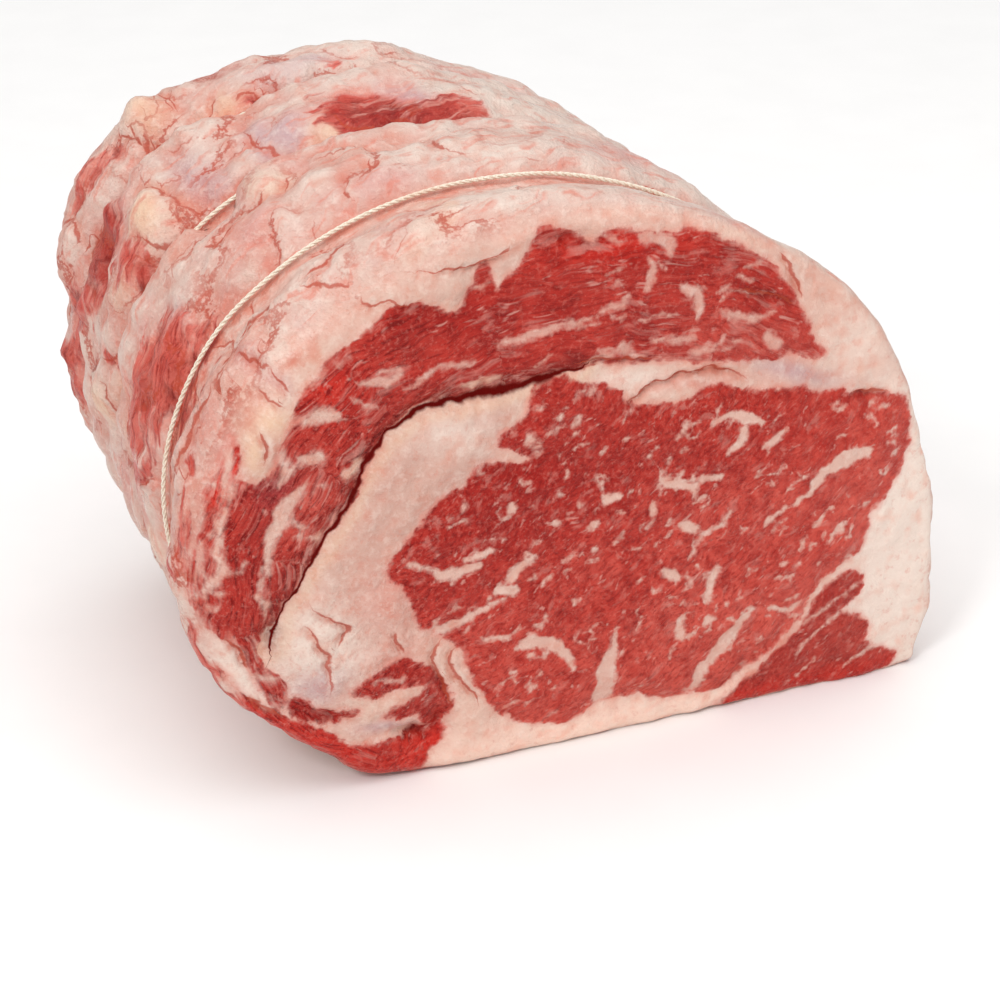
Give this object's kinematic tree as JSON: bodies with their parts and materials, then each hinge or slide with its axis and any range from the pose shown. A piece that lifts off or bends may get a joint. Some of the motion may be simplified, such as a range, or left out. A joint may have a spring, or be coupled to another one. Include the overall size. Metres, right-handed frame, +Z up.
{
  "type": "raw beef rib roast",
  "caption": "Raw boneless beef rib roast, a short tied log lying on its flat side, with a marbled cut face, thick outer fat and loops of butcher's twine.",
  "frame": {"origin": "centre of the bounding box on X and Y, at the height of the surface that the roast lies on", "axes": "the cut face looks along -Y, +X is the longest extent across the cut face, +Z is up from the flat side it lies on"},
  "size_m": [0.1876, 0.1332, 0.1384],
  "materials": {
    "meat": "soft moist raw beef, deep red marbled muscle and cream-pink fat, semi-gloss",
    "twine": "matt off-white cotton twine"
  },
  "bodies": {
    "root": {"roast": "meat", "twine_front": "twine", "twine_middle": "twine", "twine_back": "twine"}
  },
  "joints": []
}
